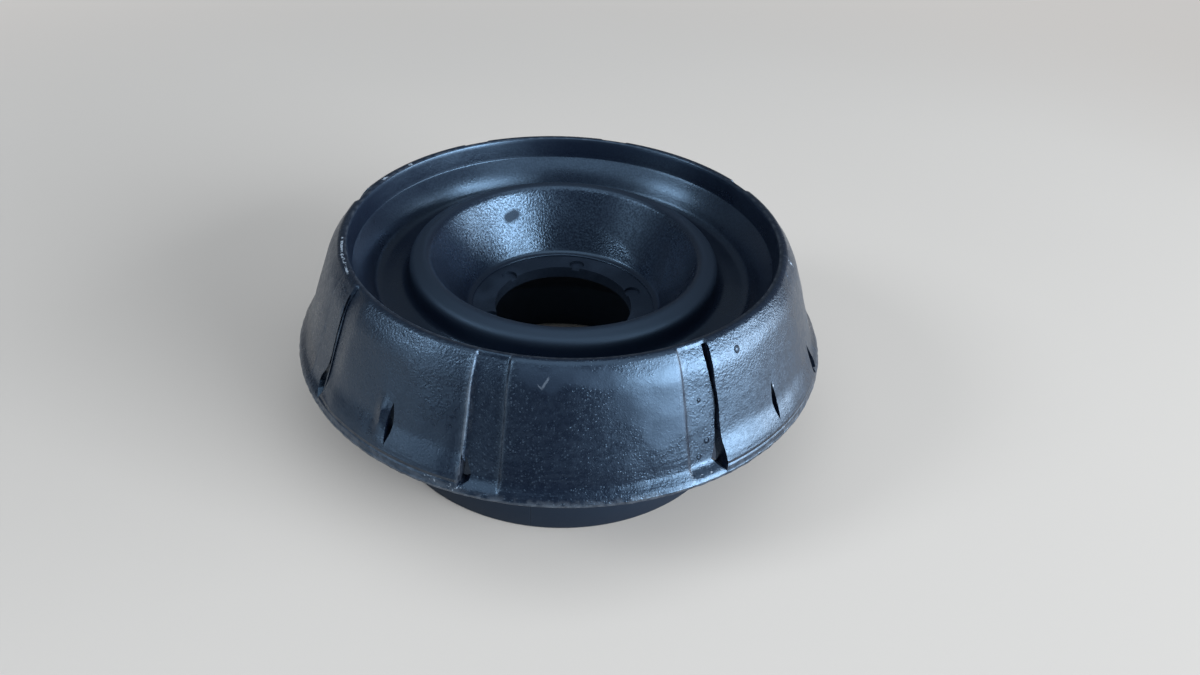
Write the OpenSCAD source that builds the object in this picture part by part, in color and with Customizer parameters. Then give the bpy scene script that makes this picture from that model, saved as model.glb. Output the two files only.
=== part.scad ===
// Strut mount: a moulded rubber body bonded round a dished steel insert.
// Millimetres. The axis is +Z, the base stands on z = 0 and a panel of the skirt faces -Y.

/* [Skirt] */
// Height from the base to the crest of the rim
mount_h = 54.4; // [52:0.1:58]
// Height of the underside of the lip at the skirt's foot
lip_z = 27; // [25:0.1:29]
// Height of the lip's edge
lip_t = 1; // [0.7:0.1:1.6]
// Height over which the skirt flares out to the lip
flare_h = 2.4; // [1.6:0.1:3.4]
// Radius of the lip
lip_r = 64.6; // [63.6:0.1:67]
// Radius at which the slope of a panel would meet the crest
skirt_top_r = 53.4; // [52.8:0.1:55]
// Radius of a panel where its flare starts
panel_foot_r = 62.3; // [60:0.1:65]
// Wall of the skirt behind a panel
skirt_wall = 2.6; // [2:0.1:3.4]
// Roundness of the shoulder between the crest and the slope
shoulder_round = 2.8; // [2:0.1:3.4]
// Rubber between the trough's floor and the top of the hollow under the skirt
web_t = 2.8; // [2:0.1:4]

/* [Pads and channels] */
// Number of raised pads round the skirt, with as many panels between them
pad_count = 4; // [3:1:6]
// Width of a pad, in degrees round the axis
pad_angle = 38.6; // [34:0.1:40]
// Width of the channel between a pad and a panel, in degrees round the axis
channel_angle = 7.4; // [4:0.1:9]
// Depth of a channel below the panels
channel_depth = 0.8; // [0.4:0.1:1.2]
// How far a pad stands out from the panels where its flare starts
pad_rise = 0.5; // [0.2:0.1:1.4]
// Wall of the skirt behind a pad
pad_wall = 2.2; // [1.6:0.1:2.8]
// Width of the side walls of a pad's hollow back
pad_side_wall = 1.7; // [1:0.1:2.6]

/* [Slits] */
// Width of the slit along each side of a pad
edge_slit_w = 0.45; // [0.3:0.05:0.8]
// How far that slit reaches under the pad's side
edge_slit_under = 0.15; // [0.05:0.05:0.3]
// Depth of that slit below the channel's floor
edge_slit_depth = 2.4; // [2:0.1:3]
// Distance of that slit's upper end below the crest
edge_slit_drop = 3; // [2:0.1:6]
// Width of the opening at the slit's foot
edge_gap_w = 2.3; // [1.2:0.1:3]
// Height of that opening
edge_gap_h = 9; // [6:0.1:12]
// Length of the eye-shaped slit in the face of a pad
eye_h = 7.6; // [5:0.1:9]
// Width of the eye-shaped slit at its middle
eye_w = 1.5; // [0.8:0.1:2]
// Height of the middle of the eye-shaped slit
eye_z = 36; // [34.5:0.1:37]
// How far the eye-shaped slit lies off the middle of its pad, in degrees
eye_shift = 3; // [0:0.1:8]

/* [Rim and trough] */
// Radius of the rim's inner edge
rim_r = 50.5; // [49.5:0.1:51]
// Roundness of the rim's inner edge
rim_round = 0.6; // [0.3:0.1:0.8]
// Height of the steep wall below the rim
rim_wall_h = 5.4; // [4:0.1:6.5]
// How far that wall leans in at its foot
rim_wall_lean = 0.7; // [0.2:0.1:1.2]
// Width of the sloped band below the steep wall
band_w = 3.1; // [2:0.1:4]
// Height of the sloped band
band_h = 3.6; // [2.5:0.1:4.5]
// Depth of the trough's floor below the crest
trough_depth = 12.6; // [11:0.1:13.5]
// Radius of the outer edge of the trough's floor
trough_r = 45; // [43.5:0.1:45.8]
// Radius of the inner edge of the trough's floor
trough_inner_r = 37.7; // [37.2:0.1:39]

/* [Bowl] */
// Distance of the bowl's crest below the crest of the rim
bowl_drop = 5.2; // [4:0.1:6.5]
// Radius of the bowl's inner edge
bowl_r = 32.5; // [31:0.1:33.5]
// Width of the bowl's rounded rim
bowl_rim_w = 4.3; // [3.8:0.1:5]
// How far the bowl's rim slopes down to its outer edge
bowl_rim_fall = 1.6; // [0.8:0.1:2.4]
// Roundness of the bowl's rim
bowl_round = 2; // [1.2:0.1:2.4]
// Radius of the foot of the bowl's wall
seat_r = 24; // [23:0.1:25]
// Width of the thin toe of rubber at the foot of the bowl's wall
toe_w = 1.3; // [0.8:0.1:2]
// Height of the edge of that toe
toe_h = 0.35; // [0.2:0.05:0.6]

/* [Insert] */
// Height of the insert's flat seat above the base
seat_z = 32.4; // [31:0.1:34]
// Radius of the bore
bore_r = 17.1; // [15:0.1:18]
// Thickness of the steel
insert_t = 3; // [2:0.1:3.6]
// Rubber between the bowl's wall and the insert, measured level
lining = 2.5; // [1.8:0.1:3.2]
// Distance of the insert's upper edge below the bowl's crest
insert_drop = 6.7; // [5:0.1:9]
// Number of round marks left by the pins that held the insert
mark_count = 6; // [3:1:8]
// Radius of a mark
mark_r = 2; // [1.4:0.1:2.2]
// Depth of a mark
mark_depth = 0.8; // [0.4:0.1:1.2]
// Overlap of a mark with the edge of the bore
mark_bite = 0.3; // [0.1:0.05:0.5]
// Angle of the first mark from +X
mark_angle = -47.5; // [-60:0.5:60]

/* [Base and underside] */
// Radius of the base
base_r = 45.8; // [44:0.1:47]
// Radius of the recess under the base that takes the strut bearing
recess_r = 36; // [33:0.1:38]
// Depth of the straight part of that recess
recess_h = 14; // [10:0.1:18]
// Radius of the insert's lower face left bare above the recess
bare_r = 25; // [23:0.1:26]
// Roundness of the base's edges
base_round = 0.8; // [0.4:0.1:1.4]

/* [Hidden] */
$fn = 128;

// Segments of a rounded corner
corner_steps = 6;
// Roundness of the lip's edges and of the flare's hollow
lip_round = 0.4;
flare_round = 4;
// Roundness of the corners inside the trough, at its floor and on the band's edges
trough_round = 2;
band_round = 1;
// Roundness at the top of the hollow under the skirt
hollow_round = 2.5;
// Roundness at the step of the recess
recess_round = 1.5;
// How far a cutting shape reaches past what it cuts
overcut = 1;
// How far the end of a pad or a panel lies behind the lip's edge
lip_tuck = 0.2;

flare_z = lip_z + lip_t + flare_h;
crest_r = rim_r + rim_round;
bowl_z = mount_h - bowl_drop;
trough_z = mount_h - trough_depth;
hollow_top_z = trough_z - web_t;
insert_top_z = bowl_z - insert_drop;
rim_foot_z = mount_h - rim_wall_h;
rim_foot_r = rim_r - rim_wall_lean;
pad_foot_r = panel_foot_r + pad_rise;
zone_pitch = 180 / pad_count;
panel_angle = 2 * zone_pitch - pad_angle - 2 * channel_angle;
front = -90;
bowl_slope = (bowl_r - seat_r) / (bowl_z - seat_z);
insert_level_t = insert_t * sqrt(1 + pow(bowl_slope, 2));

// Radius of a sloping face of the skirt at height z, from its radius where the flare starts
function slope_r(foot_r, z) =
  foot_r + (skirt_top_r - foot_r) * (z - flare_z) / (mount_h - flare_z);

// Radius of the bowl's wall at height z
function bowl_wall_r(z) = seat_r + (z - seat_z) * bowl_slope;

// Width, in degrees round the axis, of a length w at radius r
function turn_of(w, r) = w / r * 180 / PI;

// Length of the tangent that a round corner b between a and c takes up
function tangent_of(a, b, c) =
  let (
    to_a = [a.x - b.x, a.y - b.y] / norm([a.x - b.x, a.y - b.y]),
    to_c = [c.x - b.x, c.y - b.y] / norm([c.x - b.x, c.y - b.y]),
    half = acos(max(-1, min(1, to_a * to_c))) / 2
  )
  b.z / tan(half);

// Closed outline whose corners, given as [x, y, radius], are rounded; a radius gives way to its wall
function rounded(corners) =
  let (
    n = len(corners),
    at = function (i) corners[(i + n) % n],
    reach = [for (i = [0 : n - 1]) tangent_of(at(i - 1), at(i), at(i + 1))],
    edge = [for (i = [0 : n - 1]) norm([at(i + 1).x - at(i).x, at(i + 1).y - at(i).y])],
    room = function (i)
      min(1, edge[(i + n - 1) % n] / (reach[i] + reach[(i + n - 1) % n] + 0.001),
        edge[i] / (reach[i] + reach[(i + 1) % n] + 0.001))
  )
  [for (i = [0 : n - 1]) each corner_points(at(i - 1), at(i), at(i + 1), reach[i] * room(i))];

// Points of one corner b, from its tangent length t: the corner itself where t is nought
function corner_points(a, b, c, t) =
  t < 0.01 ? [[b.x, b.y]] :
  let (
    p = [b.x, b.y],
    to_a = [a.x - b.x, a.y - b.y] / norm([a.x - b.x, a.y - b.y]),
    to_c = [c.x - b.x, c.y - b.y] / norm([c.x - b.x, c.y - b.y]),
    half = acos(max(-1, min(1, to_a * to_c))) / 2,
    r = t * tan(half),
    middle = p + (to_a + to_c) / norm(to_a + to_c) * r / sin(half),
    start = p + to_a * t - middle,
    turn = (180 - 2 * half) * sign(to_a.y * to_c.x - to_a.x * to_c.y)
  )
  [for (k = [0 : corner_steps])
    let (w = turn * k / corner_steps)
    middle + [start.x * cos(w) - start.y * sin(w), start.x * sin(w) + start.y * cos(w)]];

// Ring swept from a section of rounded corners, over an angle centred on a direction
module ring_zone(corners, direction, angle) {
  rotate([0, 0, direction - angle / 2])
    rotate_extrude(angle = angle)
      polygon(rounded(corners));
}

// Whole section of the moulding with the channels' floor as its outside and no hollow under the skirt
module moulding_core() {
  rotate_extrude()
    polygon(rounded([
      [rim_r, mount_h, rim_round],
      [skirt_top_r - channel_depth, mount_h, shoulder_round - channel_depth],
      [panel_foot_r - channel_depth, flare_z, flare_round],
      [lip_r, lip_z + lip_t, lip_round],
      [lip_r, lip_z, lip_round],
      [base_r, lip_z, 0],
      [base_r, 0, base_round],
      [recess_r, 0, base_round],
      [recess_r, recess_h, recess_round],
      [bare_r, seat_z - insert_t, 0],
      [seat_r - toe_w, seat_z - insert_t / 2, 0],
      [seat_r - toe_w, seat_z + toe_h, 0],
      [seat_r, seat_z + 2 * toe_h, toe_w],
      [bowl_r, bowl_z, bowl_round],
      [bowl_r + bowl_rim_w, bowl_z - bowl_rim_fall, bowl_round],
      [trough_inner_r, trough_z, trough_round],
      [trough_r, trough_z, trough_round],
      [rim_foot_r - band_w, rim_foot_z - band_h, band_round],
      [rim_foot_r, rim_foot_z, band_round]
    ]));
}

// Layer that a panel or a pad adds to the skirt, down into the lip
module skirt_layer(foot_r, direction, angle) {
  ring_zone([
    [crest_r, mount_h, 0],
    [skirt_top_r, mount_h, shoulder_round],
    [foot_r, flare_z, flare_round],
    [lip_r - lip_tuck, lip_z + lip_t, 0],
    [lip_r - lip_tuck, lip_z, 0],
    [crest_r, lip_z, 0]
  ], direction, angle);
}

// Hollow under the skirt, between it and the base
module skirt_hollow() {
  rotate_extrude()
    polygon(rounded([
      [base_r, lip_z - overcut, 0],
      [slope_r(panel_foot_r, lip_z) - skirt_wall, lip_z - overcut, 0],
      [slope_r(panel_foot_r, lip_z) - skirt_wall, lip_z, 0],
      [slope_r(panel_foot_r, hollow_top_z) - skirt_wall, hollow_top_z, hollow_round],
      [base_r, hollow_top_z, hollow_round]
    ]));
}

// Hollow back of one pad
module pad_hollow(direction) {
  side_angle = turn_of(pad_side_wall, pad_foot_r);
  ring_zone([
    [base_r + hollow_round, flare_z, 0],
    [slope_r(pad_foot_r, flare_z) - pad_wall, flare_z, lip_round],
    [slope_r(pad_foot_r, hollow_top_z) - pad_wall, hollow_top_z, hollow_round],
    [base_r + hollow_round, hollow_top_z, 0]
  ], direction, pad_angle - 2 * side_angle);
}

// Slit that runs down the channel beside a pad and opens at its foot; +Y leads away from the pad
module edge_slit() {
  top_z = mount_h - edge_slit_drop;
  floor_foot_r = panel_foot_r - channel_depth;
  rotate([0, 0, -turn_of(edge_slit_under, panel_foot_r)])
    rotate_extrude(angle = turn_of(edge_slit_w, panel_foot_r))
      polygon([
        [slope_r(floor_foot_r, flare_z) - edge_slit_depth, flare_z],
        [lip_r + overcut, flare_z],
        [slope_r(floor_foot_r, top_z) + edge_slit_depth, top_z],
        [slope_r(floor_foot_r, top_z) - edge_slit_depth, top_z]
      ]);
  translate([base_r + hollow_round, 0, 0])
    rotate([90, 0, 90])
      linear_extrude(lip_r - base_r)
        polygon([
          [-edge_slit_under, lip_z + lip_t + lip_round],
          [edge_gap_w, flare_z - flare_h / 4],
          [edge_gap_w, flare_z + flare_h / 4],
          [edge_gap_w / 2, flare_z + edge_gap_h / 3],
          [edge_slit_w - edge_slit_under, flare_z + edge_gap_h],
          [-edge_slit_under, flare_z + edge_gap_h]
        ]);
}

// Eye-shaped slit through the face of a pad, along +X
module eye_slit() {
  eye_r = (pow(eye_h, 2) + pow(eye_w, 2)) / (4 * eye_w);
  translate([base_r + hollow_round, 0, eye_z])
    rotate([90, 0, 90])
      linear_extrude(lip_r - base_r)
        intersection() {
          translate([eye_r - eye_w / 2, 0]) circle(eye_r);
          translate([eye_w / 2 - eye_r, 0]) circle(eye_r);
        }
}

// Steel of the insert: a flat seat that turns up into a cone behind the bowl's wall
module insert_steel() {
  rotate_extrude()
    polygon([
      [bore_r, seat_z - insert_t],
      [bowl_wall_r(seat_z - insert_t) + lining + insert_level_t, seat_z - insert_t],
      [bowl_wall_r(insert_top_z) + lining + insert_level_t, insert_top_z],
      [bowl_wall_r(insert_top_z) + lining, insert_top_z],
      [bowl_wall_r(seat_z) + lining, seat_z],
      [bore_r, seat_z]
    ]);
}

module rubber_body() {
  color("#1c2027")
    difference() {
      union() {
        moulding_core();
        for (k = [0 : pad_count - 1]) {
          skirt_layer(panel_foot_r, front + 2 * k * zone_pitch, panel_angle);
          skirt_layer(pad_foot_r, front + (2 * k + 1) * zone_pitch, pad_angle);
        }
      }
      skirt_hollow();
      for (k = [0 : pad_count - 1]) {
        pad_direction = front + (2 * k + 1) * zone_pitch;
        inward = k % 2 == 0 ? -1 : 1;
        pad_hollow(pad_direction);
        rotate([0, 0, pad_direction + inward * eye_shift]) eye_slit();
        rotate([0, 0, pad_direction + pad_angle / 2]) edge_slit();
        rotate([0, 0, pad_direction - pad_angle / 2]) mirror([0, 1, 0]) edge_slit();
      }
      insert_steel();
    }
}

module inner_insert() {
  color("#2a2d31")
    difference() {
      insert_steel();
      for (k = [0 : mark_count - 1])
        rotate([0, 0, mark_angle + k * 360 / mark_count])
          translate([bore_r + mark_r - mark_bite, 0, seat_z - mark_depth])
            cylinder(r = mark_r, h = mark_depth + overcut);
    }
}

rubber_body();
inner_insert();
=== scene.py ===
"""Looks of the strut mount: worn rubber round a steel insert, on a plain floor under soft light."""

import logging
import math
from contextlib import contextmanager
from dataclasses import dataclass, field
from enum import Enum
from typing import Iterator, Sequence, Union

import bpy
import numpy as np
from mathutils import Matrix, Vector


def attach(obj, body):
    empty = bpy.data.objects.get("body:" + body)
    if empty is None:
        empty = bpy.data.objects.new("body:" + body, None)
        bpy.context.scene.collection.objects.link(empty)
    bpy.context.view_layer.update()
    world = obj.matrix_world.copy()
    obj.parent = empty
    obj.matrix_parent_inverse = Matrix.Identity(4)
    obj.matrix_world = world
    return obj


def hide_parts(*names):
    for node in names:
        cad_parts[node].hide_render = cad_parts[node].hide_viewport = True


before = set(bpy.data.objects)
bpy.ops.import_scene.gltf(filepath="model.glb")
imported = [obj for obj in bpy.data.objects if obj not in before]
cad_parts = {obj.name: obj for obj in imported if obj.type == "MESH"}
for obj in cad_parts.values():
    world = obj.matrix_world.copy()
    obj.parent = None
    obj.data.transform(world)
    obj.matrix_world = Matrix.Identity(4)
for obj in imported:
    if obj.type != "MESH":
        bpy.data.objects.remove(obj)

LOG = logging.getLogger("strut_mount")
MM = 0.001
Point = tuple[float, float, float]
Colour = tuple[float, float, float, float]
Piece = bpy.types.Object
Socket = bpy.types.NodeSocket
Number = Union[Socket, float]
Tone = Union[Socket, Colour]
Feed = Union[Number, Sequence[float]]


class Wear(Enum):
    """Kinds of marks that handling and moulding left on the rubber; some scuffs and traces are painted
    highlights.
    """

    # Scuffs and traces are mostly wear; one scuff and the traces down one pad edge are painted highlights.
    SCUFF = "pale rubbed line"
    TRACE = "faint rubbed line"
    SMEAR = "smoothed patch"
    BALD = "spot without grain"
    PIP = "small raised point"
    PIT = "small hollow"
    DUST = "patch of pale specks"


@dataclass(frozen=True)
class Mark:
    """A mark on the rubber: a capsule between two points, in millimetres.

    Attributes:
        kind: what the mark is.
        start: one end of its middle line.
        end: other end of its middle line.
        width: reach of the mark from its middle line.
    """

    kind: Wear
    start: Point
    end: Point
    width: float


@dataclass(frozen=True)
class Corner:
    """A corner of a turned section, in millimetres.

    Attributes:
        r: radius from the axis.
        z: height above the base.
        bend: radius of the corner's rounding.
        steps: edges of that rounding.
        pitch: greatest spacing of points on the straight that follows.
    """

    r: float
    z: float
    bend: float = 0.0
    steps: int = 4
    pitch: float = 3.0


def take_up(*pieces: Piece) -> None:
    """Selects these pieces alone and makes the first of them the active one."""
    bpy.ops.object.select_all(action="DESELECT")
    for piece in pieces:
        piece.select_set(True)
    bpy.context.view_layer.objects.active = pieces[0]


def select_whole() -> None:
    """Selects the whole of the mesh that is being edited."""
    bpy.ops.mesh.select_all(action="SELECT")


def settle(piece: Piece, matrix: Matrix) -> None:
    """Moves a piece by a matrix and lets its mesh take up the movement."""
    piece.matrix_world = matrix
    take_up(piece)
    bpy.ops.object.transform_apply(location=True, rotation=True, scale=True)


@contextmanager
def editing(piece: Piece) -> Iterator[None]:
    """Holds a piece in edit mode, in vertex selection.

    Args:
        piece: the piece to edit.
    """
    take_up(piece)
    bpy.ops.object.mode_set(mode="EDIT")
    bpy.ops.mesh.select_mode(type="VERT")
    try:
        yield
    finally:
        bpy.ops.object.mode_set(mode="OBJECT")


def vectors(rows: bpy.types.bpy_prop_collection, name: str) -> np.ndarray:
    """Returns a vector of each row of a mesh's data."""
    flat = np.empty(len(rows) * 3, np.float32)
    rows.foreach_get(name, flat)
    return flat.reshape(-1, 3).astype(float)


def ease(low: float, high: float, value: np.ndarray) -> np.ndarray:
    """Smooth step from 0 at low to 1 at high.

    Args:
        low: value at which the step starts.
        high: value at which the step ends; it may lie below low.
        value: values to map.

    Returns:
        The steps, from 0 to 1.
    """
    t = np.clip((value - low) / (high - low), 0.0, 1.0)
    return t * t * (3.0 - 2.0 * t)


def rounded_section(corners: Sequence[Corner]) -> list[tuple[float, float]]:
    """Closed outline through rounded corners, with points along its straights.

    Args:
        corners: corners in order round the outline.

    Returns:
        Points as radius and height, in millimetres.
    """
    count = len(corners)
    spots = [Vector((c.r, c.z)) for c in corners]
    reach, arms = [], []
    for i, corner in enumerate(corners):
        to_last = (spots[i - 1] - spots[i]).normalized()
        to_next = (spots[(i + 1) % count] - spots[i]).normalized()
        half = math.acos(max(-1.0, min(1.0, to_last.dot(to_next)))) / 2
        reach.append(corner.bend / math.tan(half))
        arms.append((to_last, to_next, half))
    lengths = [(spots[(i + 1) % count] - spots[i]).length for i in range(count)]
    outline: list[Vector] = []
    for i, corner in enumerate(corners):
        room = min(1.0, lengths[i - 1] / (reach[i] + reach[i - 1] + 0.001),
                   lengths[i] / (reach[i] + reach[(i + 1) % count] + 0.001))
        to_last, to_next, half = arms[i]
        tangent = reach[i] * room
        arc = [spots[i]]
        if tangent > 0.01:
            radius = tangent * math.tan(half)
            middle = spots[i] + (to_last + to_next).normalized() * (radius / math.sin(half))
            first = spots[i] + to_last * tangent - middle
            turn = (math.pi - 2 * half) * math.copysign(1.0, to_last.y * to_next.x - to_last.x * to_next.y)
            arc = [middle + Matrix.Rotation(turn * k / corner.steps, 2) @ first
                   for k in range(corner.steps + 1)]
        outline += fill_gap(outline, arc[0], corners[i - 1].pitch) + arc
    outline += fill_gap(outline, outline[0], corners[-1].pitch)
    return [(p.x, p.y) for p in outline]


def fill_gap(outline: Sequence[Vector], target: Vector, pitch: float) -> list[Vector]:
    """Points that divide the straight from the outline's last point to a target.

    Args:
        outline: the outline so far.
        target: where the straight ends.
        pitch: greatest spacing of the points.

    Returns:
        The points between, without the ends.
    """
    if not outline:
        return []
    cuts = max(1, math.ceil((target - outline[-1]).length / pitch))
    return [outline[-1].lerp(target, k / cuts) for k in range(1, cuts)]


def turned_quarter(name: str, outline: Sequence[tuple[float, float]],
                   sectors: Sequence[tuple[float, int]]) -> Piece:
    """Turns a closed outline round the axis, sector by sector, and repeats the quarter to a full ring.

    Args:
        name: name of the piece.
        outline: radius and height of each point, in millimetres.
        sectors: angle in degrees and number of steps of each sector of the quarter.

    Returns:
        The closed ring, with its faces outwards.
    """
    points = [Vector((r * MM, 0.0, z * MM)) for r, z in outline]
    bpy.ops.mesh.primitive_circle_add(vertices=3, radius=MM, fill_type="NOTHING", location=(0, 0, 0))
    piece = bpy.context.object
    piece.name = piece.data.name = name
    with editing(piece):
        select_whole()
        bpy.ops.mesh.merge(type="CENTER")
        bpy.ops.transform.translate(value=points[0])
        for last, point in zip(points, points[1:]):
            bpy.ops.mesh.extrude_vertices_move(TRANSFORM_OT_translate={"value": point - last})
    piece.data.vertices[0].select = True
    with editing(piece):
        bpy.ops.mesh.edge_face_add()
        select_whole()
        for angle, steps in sectors:
            bpy.ops.mesh.spin(steps=steps, angle=math.radians(angle), center=(0, 0, 0), axis=(0, 0, 1))
        select_whole()
        for _ in range(3):
            bpy.ops.mesh.duplicate()
            bpy.ops.transform.rotate(value=math.pi / 2, orient_axis="Z", center_override=(0, 0, 0))
        select_whole()
        bpy.ops.mesh.remove_doubles(threshold=0.005 * MM)
        bpy.ops.mesh.normals_make_consistent(inside=False)
    return piece


def displace(piece: Piece, weights: np.ndarray, depth: float, waves: float = 0.0) -> None:
    """Moves part of a surface along its normals by an applied modifier.

    Args:
        piece: the piece to shape.
        weights: share of the movement for each vertex.
        depth: movement at full weight, in millimetres.
        waves: size of the cloud pattern that the movement follows, in millimetres, or 0 for an even one.
    """
    group = piece.vertex_groups.new(name="moved")
    for index in np.flatnonzero(np.abs(weights) > 1e-4):
        group.add([int(index)], float(weights[index]), "REPLACE")
    modifier = piece.modifiers.new("shape", "DISPLACE")
    modifier.vertex_group = group.name
    modifier.direction = "NORMAL"
    modifier.mid_level = 0.0
    modifier.strength = depth * MM
    cloud = None
    if waves:
        cloud = bpy.data.textures.new("rubber_waves", "CLOUDS")
        cloud.noise_scale = waves * MM
        cloud.noise_depth = 2
        modifier.texture = cloud
        modifier.texture_coords = "LOCAL"
        modifier.mid_level = 0.5
    take_up(piece)
    bpy.ops.object.modifier_apply(modifier=modifier.name)
    piece.vertex_groups.clear()
    if cloud:
        bpy.data.textures.remove(cloud)


class Wiring:
    """Adds and links the nodes of a tree."""

    def __init__(self, tree: bpy.types.NodeTree) -> None:
        """Takes the tree."""
        self.tree = tree

    def add(self, kind: str) -> bpy.types.Node:
        """Adds a shader node."""
        return self.tree.nodes.new(f"ShaderNode{kind}")

    def feed(self, socket: Socket, value: Feed) -> None:
        """Links a socket to an input, or sets the input's value."""
        if isinstance(value, bpy.types.NodeSocket):
            self.tree.links.new(value, socket)
        else:
            socket.default_value = value

    def maths(self, operation: str, a: Number, b: Number = 0.0, clamp: bool = False) -> Socket:
        """Result of a math node on two values."""
        node = self.add("Math")
        node.operation, node.use_clamp = operation, clamp
        self.feed(node.inputs[0], a)
        self.feed(node.inputs[1], b)
        return node.outputs[0]

    def times(self, a: Number, b: Number) -> Socket:
        """Product of two values."""
        return self.maths("MULTIPLY", a, b)

    def span(self, value: Socket, low: float, high: float, at_low: float = 0.0,
             at_high: float = 1.0) -> Socket:
        """Smooth step of a value.

        Args:
            value: value to map.
            low: value at which the step starts.
            high: value at which the step ends.
            at_low: result at and below low.
            at_high: result at and above high.

        Returns:
            The mapped value.
        """
        node = self.add("MapRange")
        node.interpolation_type = "SMOOTHSTEP"
        for socket, item in zip(node.inputs, (value, low, high, at_low, at_high)):
            self.feed(socket, item)
        return node.outputs[0]

    def vector(self, operation: str, a: Socket, b: "Feed | None" = None) -> Socket:
        """Result of a vector math node; the second value of a scaling is its factor."""
        node = self.add("VectorMath")
        node.operation = operation
        self.feed(node.inputs[0], a)
        if b is not None:
            self.feed(node.inputs["Scale" if operation == "SCALE" else 1], b)
        return node.outputs["Value" if operation in ("DOT_PRODUCT", "LENGTH") else "Vector"]

    def seen(self) -> Socket:
        """1 for rays that come straight from the camera, and 0 for others."""
        return self.add("LightPath").outputs["Is Camera Ray"]

    def show(self, share: Socket, shader: Socket, other: Socket) -> None:
        """Ends the tree in a mix of two shaders, by the share of the second."""
        node = self.add("MixShader")
        for socket, item in zip(node.inputs, (share, shader, other)):
            self.feed(socket, item)
        self.feed(self.tree.get_output_node("ALL").inputs["Surface"], node.outputs["Shader"])


class Bench(Wiring):
    """Lays out the nodes of one finish."""

    def __init__(self, name: str) -> None:
        """Starts an empty material that ends in one principled shader."""
        self.material = bpy.data.materials.new(name)
        self.material.use_nodes = True
        super().__init__(self.material.node_tree)
        self.tree.nodes.clear()
        self.shader = self.add("BsdfPrincipled")
        self.feed(self.add("OutputMaterial").inputs["Surface"], self.shader.outputs["BSDF"])
        self.point = self.add("TexCoord").outputs["Object"]

    def put(self, name: str, value: Feed) -> None:
        """Feeds an input of the shader."""
        self.feed(self.shader.inputs[name], value)

    def texture(self, kind: str, pitch: float, point: "Socket | None" = None) -> bpy.types.Node:
        """Adds a pattern whose parts are about one pitch apart, in millimetres."""
        node = self.add(f"Tex{kind}")
        self.feed(node.inputs["Vector"], point or self.point)
        self.feed(node.inputs["Scale"], 1.0 / (pitch * MM))
        return node

    def noise(self, pitch: float, detail: float = 2.0, point: "Socket | None" = None) -> Socket:
        """Noise whose bumps are about one pitch apart, in millimetres."""
        node = self.texture("Noise", pitch, point)
        self.feed(node.inputs["Detail"], detail)
        return node.outputs["Fac"]

    def cells(self, pitch: float) -> Socket:
        """Distance to the middle of soft cells about one pitch wide, in millimetres."""
        node = self.texture("Voronoi", pitch)
        node.feature = "SMOOTH_F1"
        self.feed(node.inputs["Smoothness"], 0.6)
        return node.outputs["Distance"]

    def specks(self, pitch: float, reach: float, share: float) -> Socket:
        """Round specks strewn at random.

        Args:
            pitch: spacing of the cells that may hold a speck, in millimetres.
            reach: radius of a speck, as a share of the pitch.
            share: share of the cells that hold one.

        Returns:
            1 on the specks and 0 between them.
        """
        node = self.texture("Voronoi", pitch)
        chance = self.add("SeparateColor")
        self.feed(chance.inputs[0], node.outputs["Color"])
        dot = self.span(node.outputs["Distance"], reach, reach * 0.4)
        return self.times(dot, self.span(chance.outputs[0], 1.0 - share, 1.0))

    def shift(self, pitch: float, amount: float) -> Socket:
        """Object coordinates pushed about by noise.

        Args:
            pitch: size of the noise, in millimetres.
            amount: greatest push, in millimetres.

        Returns:
            The pushed coordinates.
        """
        noise = self.texture("Noise", pitch)
        centred = self.vector("SUBTRACT", noise.outputs["Color"], (0.5, 0.5, 0.5))
        pushed = self.vector("SCALE", centred, amount * 2 * MM)
        return self.vector("ADD", self.point, pushed)

    def blend(self, share: Socket, low: Tone, high: Tone) -> Socket:
        """Colour between two, by a share."""
        node = self.add("Mix")
        node.data_type = "RGBA"
        self.feed(node.inputs["Factor"], share)
        self.feed(node.inputs[6], low)
        self.feed(node.inputs[7], high)
        return node.outputs[2]

    def between(self, share: Socket, low: Number, high: Number) -> Socket:
        """Value between two, by a share."""
        node = self.add("Mix")
        self.feed(node.inputs["Factor"], share)
        self.feed(node.inputs[2], low)
        self.feed(node.inputs[3], high)
        return node.outputs[0]

    def kept(self, name: str) -> Socket:
        """Number that the piece keeps for each vertex."""
        node = self.add("Attribute")
        node.attribute_name = name
        return node.outputs["Fac"]

    def axis(self, letter: str) -> Socket:
        """One of the object coordinates, in metres."""
        node = self.add("SeparateXYZ")
        self.feed(node.inputs[0], self.point)
        return node.outputs[letter]

    def bump(self, height: Socket, depth: float) -> Socket:
        """Normal of a surface with a height pattern, of a depth in millimetres."""
        node = self.add("Bump")
        self.feed(node.inputs["Distance"], depth * MM)
        self.feed(node.inputs["Height"], height)
        return node.outputs["Normal"]


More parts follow.
